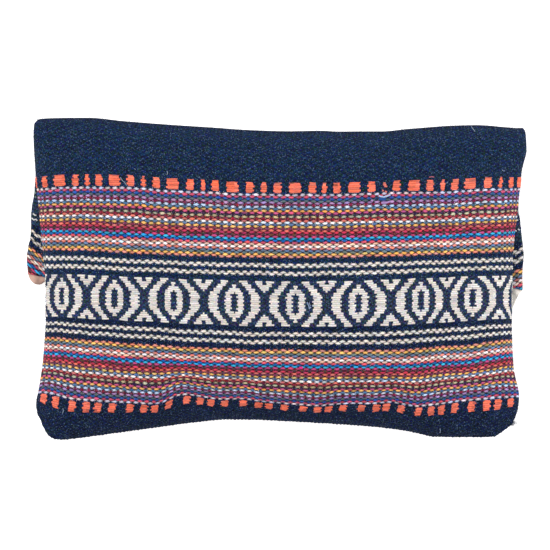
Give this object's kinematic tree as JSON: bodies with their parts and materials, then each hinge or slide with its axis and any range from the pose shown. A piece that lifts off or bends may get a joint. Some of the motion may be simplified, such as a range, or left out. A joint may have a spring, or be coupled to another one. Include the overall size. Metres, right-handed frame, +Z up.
{
  "type": "foldover clutch bag",
  "caption": "Handwoven cotton foldover clutch with striped and oval-motif bands, lying on its folded flap, with a lined pocket and a zip whose slider and pull move.",
  "frame": {"origin": "middle of the footprint, on the surface that the flap lies on", "axes": "+X along the zip and the top fold, +Y towards the top fold, +Z up through the front of the bag"},
  "size_m": [0.3087, 0.1944, 0.0475],
  "materials": {
    "woven_cotton": "weft-faced handwoven cotton, navy ground with coloured bands",
    "lining_cotton": "plain cotton lining",
    "zip_tape": "fine twill tape",
    "zip_coil": "matt nylon coil",
    "zip_metal": "dulled brass-coloured metal"
  },
  "bodies": {
    "bag": {"front_panel": "woven_cotton", "back_panel": "woven_cotton", "front_lining": "lining_cotton", "back_lining": "lining_cotton", "zip_tape_front": "zip_tape", "zip_tape_back": "zip_tape", "zip_coil_front": "zip_coil", "zip_coil_back": "zip_coil", "zip_top_stop_front": "zip_metal", "zip_top_stop_back": "zip_metal", "zip_bottom_stop": "zip_metal", "zip_end_tab_left": "zip_tape", "zip_end_tab_right": "zip_tape"},
    "slider": {"zip_slider": "zip_metal"},
    "pull": {"zip_pull": "zip_metal"}
  },
  "joints": [
    {"name": "slider_travel", "type": "slide", "parent": "bag", "child": "slider", "axis": [1, 0, 0], "range_m": [0, 0.2565]},
    {"name": "pull_turn", "type": "hinge", "parent": "slider", "child": "pull", "pos_m": [-0.1265, -0.01361, 0.0041], "axis": [0, 0, -1], "range_deg": [0, 180]}
  ]
}
